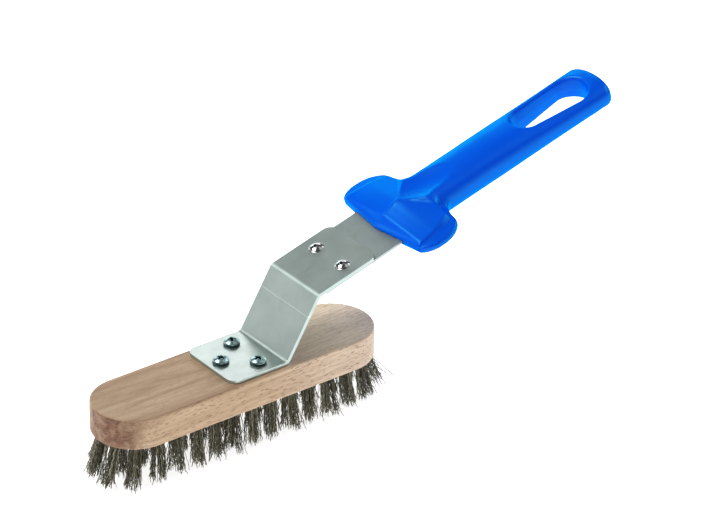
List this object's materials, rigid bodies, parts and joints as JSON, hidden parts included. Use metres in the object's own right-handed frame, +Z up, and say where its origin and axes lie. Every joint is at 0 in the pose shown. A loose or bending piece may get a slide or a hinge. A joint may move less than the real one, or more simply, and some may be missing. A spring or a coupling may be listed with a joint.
{
  "type": "wire brush",
  "caption": "Hand wire brush: wooden block with crimped steel wire tufts, a bent metal bracket screwed to its top and a raised plastic handle with a finger guard.",
  "frame": {"origin": "middle of the plane of the bristle tips, at the tip of the centre tuft", "axes": "+Z up, away from the work; +X along the block towards the handle; +Y to the left when looking along +X"},
  "size_m": [0.3235, 0.075, 0.1343],
  "materials": {
    "beech": "fine sanded, unvarnished",
    "zinc_sheet": "satin zinc-plated sheet",
    "tang_steel": "rolled steel, satin",
    "handle_plastic": "satin moulded plastic",
    "screw_zinc": "blue-white zinc plating",
    "rivet_bright": "bright plated dome",
    "mandrel_steel": "snapped steel, dark",
    "bristle_wire": "dark crimped steel wire",
    "anchor_wire": "plain steel"
  },
  "bodies": {
    "root": {"block": "beech", "bracket": "zinc_sheet", "tang": "tang_steel", "handle": "handle_plastic", "screw_front": "screw_zinc", "screw_left": "screw_zinc", "screw_right": "screw_zinc", "rivet_left": "rivet_bright", "rivet_right": "rivet_bright", "mandrel_left": "mandrel_steel", "mandrel_right": "mandrel_steel", "tufts_left": "bristle_wire", "tufts_middle": "bristle_wire", "tufts_right": "bristle_wire", "tufts_nose": "bristle_wire", "tufts_heel": "bristle_wire", "anchors_left": "anchor_wire", "anchors_middle": "anchor_wire", "anchors_right": "anchor_wire", "anchors_nose": "anchor_wire", "anchors_heel": "anchor_wire"}
  },
  "joints": []
}
